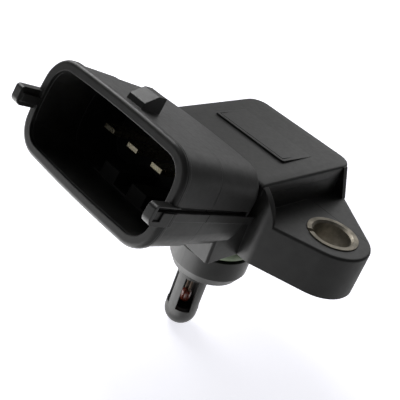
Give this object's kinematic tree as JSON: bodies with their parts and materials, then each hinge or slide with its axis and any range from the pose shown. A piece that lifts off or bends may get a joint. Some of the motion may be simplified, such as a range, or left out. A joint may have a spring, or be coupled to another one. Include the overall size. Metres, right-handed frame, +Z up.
{
  "type": "manifold absolute pressure sensor",
  "caption": "Intake manifold pressure and temperature sensor: a black moulded body with an angled oblong plug socket, a bushed mounting ear, and a sealed spigot with a slotted nozzle.",
  "frame": {"origin": "on the axis of the port spigot, in the seat face that lies on the manifold", "axes": "+X towards the plug socket, +Y towards the mounting ear, +Z up, out of the manifold"},
  "size_m": [0.0428, 0.0396, 0.0371],
  "materials": {
    "black_pbt": "fine-grained black glass-filled moulding",
    "plated_steel": "rolled steel, dull zinc plating",
    "seal_rubber": "moulded green sealing rubber, faintly oily",
    "tinned_bronze": "stamped strip, tin over bronze",
    "silicone_glue": "cured silicone",
    "alumina_ceramic": "fired ceramic",
    "cell_glass": "sawn glass",
    "silicon": "polished silicon",
    "dam_plastic": "moulded",
    "clear_gel": "soft clear gel",
    "chip_epoxy": "moulded epoxy",
    "capacitor_ceramic": "glazed ceramic chip",
    "aluminium_wire": "drawn wire",
    "bead_resin": "dipped red-brown resin",
    "lead_wire": "tinned wire"
  },
  "bodies": {
    "root": {"housing": "black_pbt", "cover": "black_pbt", "bushing": "plated_steel", "seal_ring": "seal_rubber", "terminal_1": "tinned_bronze", "terminal_2": "tinned_bronze", "terminal_3": "tinned_bronze", "terminal_4": "tinned_bronze", "cover_glue_bead": "silicone_glue", "board_glue": "silicone_glue", "circuit_board": "alumina_ceramic", "cell_base": "cell_glass", "sensor_die": "silicon", "gel_dam": "dam_plastic", "protective_gel": "clear_gel", "signal_chip": "chip_epoxy", "capacitor_1": "capacitor_ceramic", "capacitor_2": "capacitor_ceramic", "capacitor_3": "capacitor_ceramic", "bond_wire_1": "aluminium_wire", "bond_wire_2": "aluminium_wire", "bond_wire_3": "aluminium_wire", "bond_wire_4": "aluminium_wire", "thermistor_bead": "bead_resin", "thermistor_lead_1": "lead_wire", "thermistor_lead_2": "lead_wire"}
  },
  "joints": []
}
